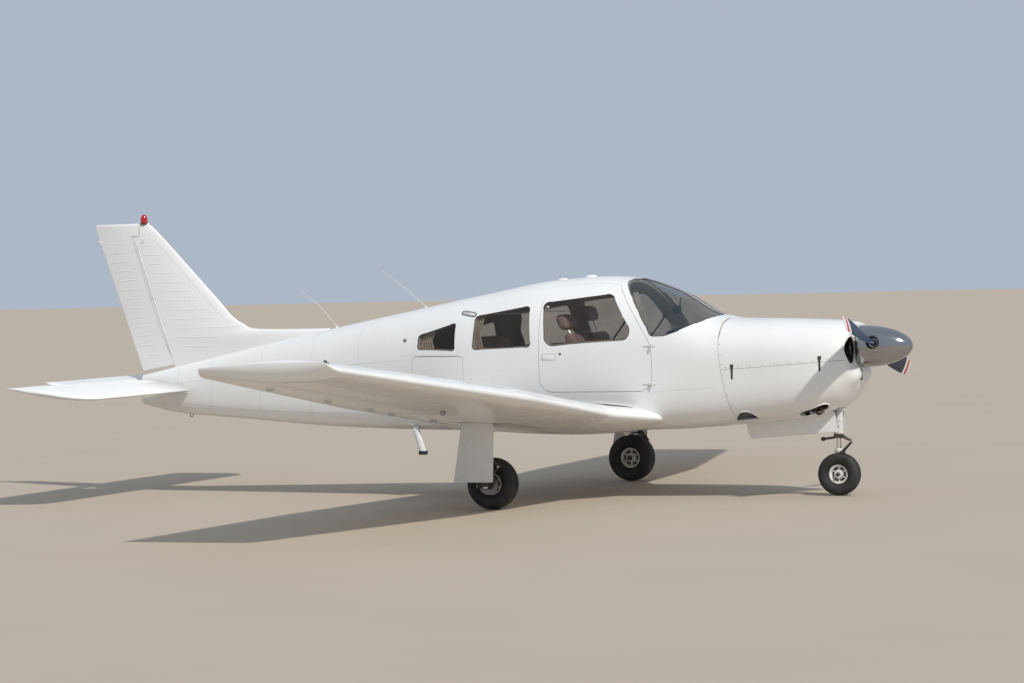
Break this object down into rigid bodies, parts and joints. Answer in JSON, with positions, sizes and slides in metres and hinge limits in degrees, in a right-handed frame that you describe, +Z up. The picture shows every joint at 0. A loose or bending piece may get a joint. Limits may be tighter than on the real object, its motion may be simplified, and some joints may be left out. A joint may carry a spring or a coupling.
{
  "type": "light aircraft",
  "caption": "Low-wing light aircraft with retractable nose-wheel gear, a nose propeller, a cabin door, flaps and an all-moving tailplane.",
  "frame": {"origin": "on the ground, below the middle of the aircraft's length and span", "axes": "+X forward to the nose, +Y to the left wing, +Z up"},
  "size_m": [7.514, 10.8014, 2.4803],
  "materials": {
    "white_paint": "gloss",
    "smoked_glass": "gloss",
    "bare_aluminium": "satin",
    "blade_paint": "satin",
    "engine_metal": "matte",
    "gear_steel": "satin",
    "tyre_rubber": "matte",
    "brown_vinyl": "satin",
    "tan_vinyl": "satin",
    "panel_black": "matte",
    "beacon_red": "gloss"
  },
  "bodies": {
    "airframe": {"cabin_floor": "white_paint", "cabin_side_left": "white_paint", "cabin_side_right": "white_paint", "cabin_roof": "white_paint", "firewall": "gear_steel", "rear_bulkhead": "white_paint", "tail_cone": "white_paint", "fin": "white_paint", "beacon": "beacon_red", "cowl_upper": "white_paint", "cowl_lower": "white_paint", "engine_block": "engine_metal", "windscreen_left": "smoked_glass", "windscreen_right": "smoked_glass", "window_left_front": "smoked_glass", "window_left_rear": "smoked_glass", "window_left_aft": "smoked_glass", "window_right_rear": "smoked_glass", "window_right_aft": "smoked_glass", "wing_left": "white_paint", "wing_right": "white_paint", "main_leg_left": "white_paint", "main_leg_right": "white_paint", "gear_door_left": "white_paint", "gear_door_right": "white_paint", "nose_leg": "white_paint", "nose_door_left": "white_paint", "nose_door_right": "white_paint", "instrument_panel": "panel_black", "seat_front_left": "brown_vinyl", "seat_front_right": "brown_vinyl", "seat_rear": "tan_vinyl", "boarding_step": "white_paint"},
    "cabin_door": {"cabin_door": "white_paint", "door_window": "smoked_glass"},
    "baggage_door": {"baggage_door": "white_paint"},
    "propeller": {"spinner": "bare_aluminium", "propeller": "blade_paint"},
    "nose_fork": {"nose_fork": "gear_steel"},
    "nose_wheel": {"nose_rim": "bare_aluminium", "nose_tyre": "tyre_rubber"},
    "main_wheel_left": {"main_left_rim": "bare_aluminium", "main_left_tyre": "tyre_rubber"},
    "main_wheel_right": {"main_right_rim": "bare_aluminium", "main_right_tyre": "tyre_rubber"},
    "rudder": {"rudder": "white_paint"},
    "stabilator": {"stabilator": "white_paint"},
    "stabilator_tab": {"stabilator_tab": "white_paint"},
    "aileron_left": {"aileron_left": "white_paint"},
    "aileron_right": {"aileron_right": "white_paint"},
    "flap_left": {"flap_left": "white_paint"},
    "flap_right": {"flap_right": "white_paint"}
  },
  "joints": [
    {"name": "propeller_spin", "type": "hinge", "parent": "airframe", "child": "propeller", "pos_m": [3.467, 0, 1.214], "axis": [1, 0, 0], "continuous": true},
    {"name": "cabin_door_hinge", "type": "hinge", "parent": "airframe", "child": "cabin_door", "pos_m": [1.722, -0.584, 1.09], "axis": [0, 0, 1], "range_deg": [0, 85]},
    {"name": "baggage_door_hinge", "type": "hinge", "parent": "airframe", "child": "baggage_door", "pos_m": [-0.2342, -0.4829, 1.192], "axis": [-0.9905, 0.1374, 0], "range_deg": [0, 100]},
    {"name": "nose_steer", "type": "hinge", "parent": "airframe", "child": "nose_fork", "pos_m": [3.119, 0, 0.4], "axis": [0, 0, 1], "range_deg": [-30, 30]},
    {"name": "nose_wheel_spin", "type": "hinge", "parent": "nose_fork", "child": "nose_wheel", "pos_m": [3.119, 0, 0.174], "axis": [0, 1, 0], "continuous": true},
    {"name": "main_wheel_left_spin", "type": "hinge", "parent": "airframe", "child": "main_wheel_left", "pos_m": [0.722, 1.6, 0.206], "axis": [0, 1, 0], "continuous": true},
    {"name": "main_wheel_right_spin", "type": "hinge", "parent": "airframe", "child": "main_wheel_right", "pos_m": [0.722, -1.6, 0.206], "axis": [0, 1, 0], "continuous": true},
    {"name": "rudder_hinge", "type": "hinge", "parent": "airframe", "child": "rudder", "pos_m": [-3.025, 0, 1.135], "axis": [-0.314, 0, 0.9494], "range_deg": [-27, 27]},
    {"name": "stabilator_pivot", "type": "hinge", "parent": "airframe", "child": "stabilator", "pos_m": [-2.978, 0, 0.938], "axis": [0, 1, 0], "range_deg": [-9.7, 6.3]},
    {"name": "stabilator_tab_hinge", "type": "hinge", "parent": "stabilator", "child": "stabilator_tab", "pos_m": [-3.42, 0, 0.99776], "axis": [0, 1, 0], "range_deg": [-15.6, 10.2]},
    {"name": "aileron_left_hinge", "type": "hinge", "parent": "airframe", "child": "aileron_left", "pos_m": [0.221, 2.6955, 0.89825], "axis": [0.0284, 0.9917, 0.1256], "range_deg": [-15, 30]},
    {"name": "aileron_right_hinge", "type": "hinge", "parent": "airframe", "child": "aileron_right", "pos_m": [0.221, -2.6955, 0.89825], "axis": [-0.0284, 0.9917, -0.1256], "range_deg": [-15, 30]},
    {"name": "flap_left_hinge", "type": "hinge", "parent": "airframe", "child": "flap_left", "pos_m": [0.213, 0.62115, 0.64297], "axis": [0, -0.9925, -0.1219], "range_deg": [0, 40]},
    {"name": "flap_right_hinge", "type": "hinge", "parent": "airframe", "child": "flap_right", "pos_m": [0.213, -0.62115, 0.64297], "axis": [0, -0.9925, 0.1219], "range_deg": [0, 40]}
  ],
  "couplings": [
    {"joint": "nose_steer", "follows": "rudder_hinge", "ratio": -1.1111},
    {"joint": "stabilator_tab_hinge", "follows": "stabilator_pivot", "ratio": 1.6},
    {"joint": "flap_right_hinge", "follows": "flap_left_hinge", "ratio": 1}
  ]
}
